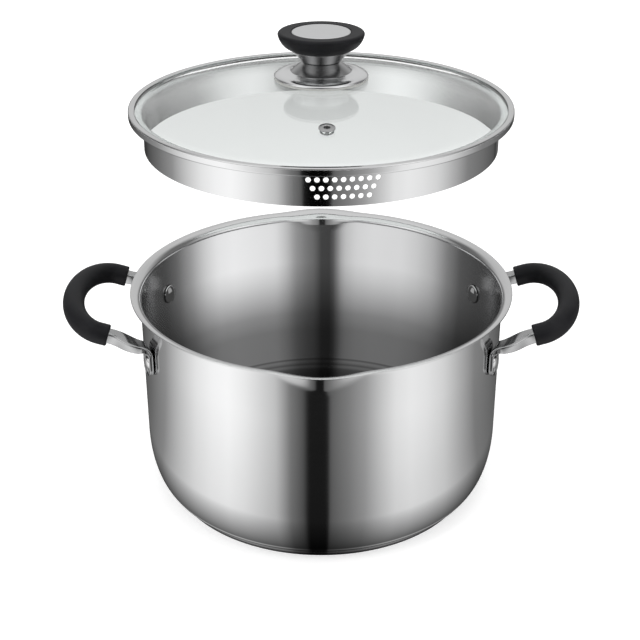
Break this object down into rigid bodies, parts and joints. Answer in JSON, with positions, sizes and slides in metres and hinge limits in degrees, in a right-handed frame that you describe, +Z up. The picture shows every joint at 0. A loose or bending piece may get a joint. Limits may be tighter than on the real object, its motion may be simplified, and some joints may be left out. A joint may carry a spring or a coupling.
{
  "type": "pasta pot with strainer lid",
  "caption": "Round stainless stockpot with pouring spouts, two riveted loop handles and a lift-off glass lid whose pierced skirt strains as it pours.",
  "frame": {"origin": "middle of the base, on the surface the pot stands on", "axes": "+Z up along the pot's axis, +X through the right handle, -Y through the front spout"},
  "size_m": [0.3496, 0.2676, 0.3197],
  "materials": {
    "polished_steel": "polished stainless steel",
    "satin_steel": "brushed stainless steel",
    "core_aluminium": "plain aluminium",
    "black_silicone": "matte black silicone",
    "pale_silicone": "translucent silicone",
    "clear_glass": "clear toughened glass"
  },
  "bodies": {
    "pot": {"pot_body": "polished_steel", "base_cap": "satin_steel", "base_core": "core_aluminium", "handle_left_frame": "polished_steel", "handle_right_frame": "polished_steel", "handle_left_grip": "black_silicone", "handle_right_grip": "black_silicone", "rivet_left_front": "polished_steel", "rivet_left_rear": "polished_steel", "rivet_right_front": "polished_steel", "rivet_right_rear": "polished_steel"},
    "lid_hub": {"knob_cap": "satin_steel"},
    "lid": {"lid_ring": "polished_steel", "lid_glass": "clear_glass", "steam_vent": "polished_steel", "knob_base": "polished_steel", "knob_stem": "polished_steel", "knob_grip": "black_silicone", "knob_insert": "polished_steel", "knob_screw": "polished_steel", "knob_washer": "polished_steel", "knob_gasket_upper": "pale_silicone", "knob_gasket_lower": "pale_silicone"}
  },
  "joints": [
    {"name": "lid_lift", "type": "slide", "parent": "pot", "child": "lid_hub", "axis": [0, 0, 1], "range_m": [-0.1244, 0.05]},
    {"name": "lid_turn", "type": "hinge", "parent": "lid_hub", "child": "lid", "pos_m": [0, 0, 0.2695], "axis": [0, 0, 1], "continuous": true}
  ]
}
